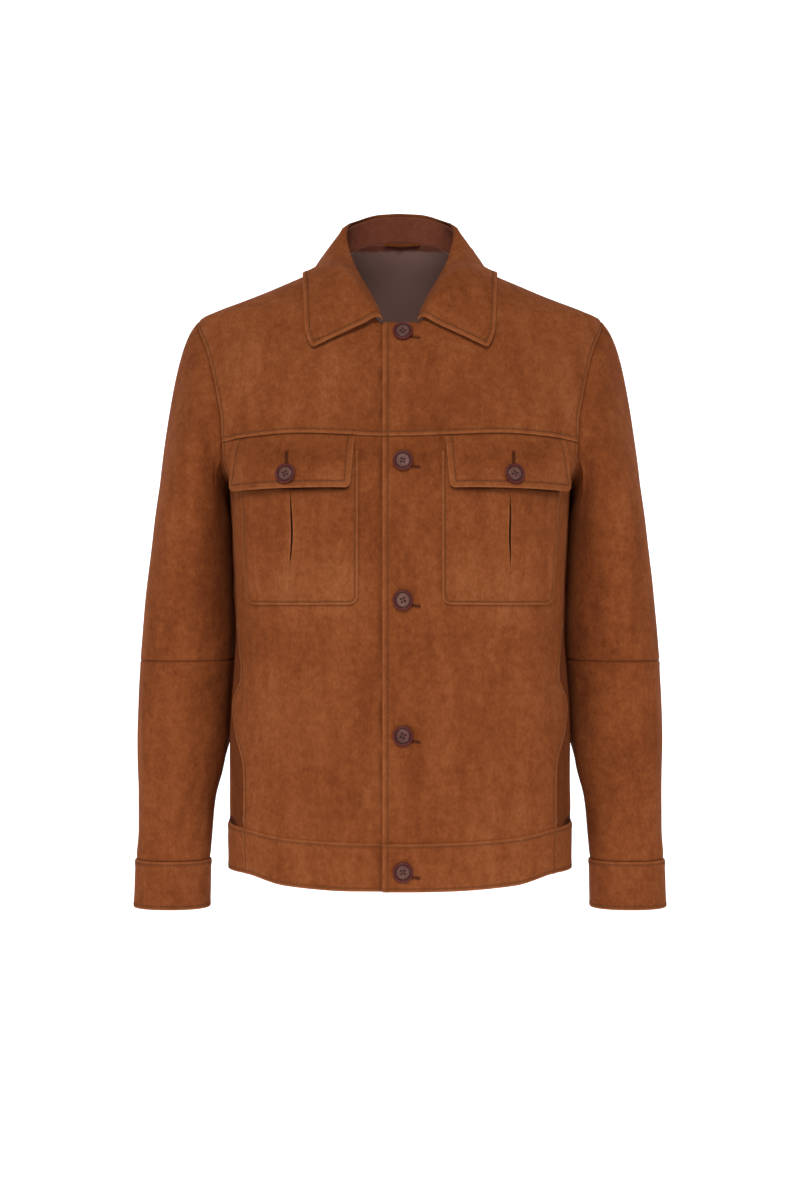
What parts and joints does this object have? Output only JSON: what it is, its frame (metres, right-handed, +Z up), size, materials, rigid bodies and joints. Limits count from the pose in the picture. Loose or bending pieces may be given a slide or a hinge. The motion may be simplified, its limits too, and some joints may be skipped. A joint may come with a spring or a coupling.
{
  "type": "suede shirt jacket",
  "caption": "Hip-length tan suede shirt jacket in hollow worn form, buttoned up, with pointed collar, flapped chest pockets, cuffed sleeves and waistband.",
  "frame": {"origin": "midway between the two points where the shoulder seams meet the neck, where the wearer carries the jacket", "axes": "+X to the wearer's left, -Y out of the front, +Z up"},
  "size_m": [0.5768, 0.2724, 0.7694],
  "materials": {
    "tan_suede": "napped suede, tan brown, soft and matte",
    "cuff_suede": "napped suede, slightly darker",
    "stand_suede": "napped suede, reddish dark brown",
    "brown_lining": "smooth woven lining, grey-brown, a soft sheen",
    "brown_horn": "polished horn look, purplish brown"
  },
  "bodies": {
    "root": {"back": "tan_suede", "button_front_1": "brown_horn", "button_front_2": "brown_horn", "button_front_3": "brown_horn", "button_front_4": "brown_horn", "button_front_5": "brown_horn", "button_pocket_left": "brown_horn", "button_pocket_right": "brown_horn", "collar_fall": "tan_suede", "collar_stand": "stand_suede", "cuff_left": "cuff_suede", "cuff_right": "cuff_suede", "flap_left": "tan_suede", "flap_right": "tan_suede", "front_left": "tan_suede", "front_right": "tan_suede", "hanger_loop": "tan_suede", "lining_back": "brown_lining", "pocket_left": "tan_suede", "pocket_right": "tan_suede", "sleeve_lower_left": "tan_suede", "sleeve_lower_right": "tan_suede", "sleeve_upper_left": "tan_suede", "sleeve_upper_right": "tan_suede", "waistband_back": "tan_suede", "waistband_left": "tan_suede", "waistband_right": "tan_suede", "yoke_left": "tan_suede", "yoke_right": "tan_suede"}
  },
  "joints": []
}
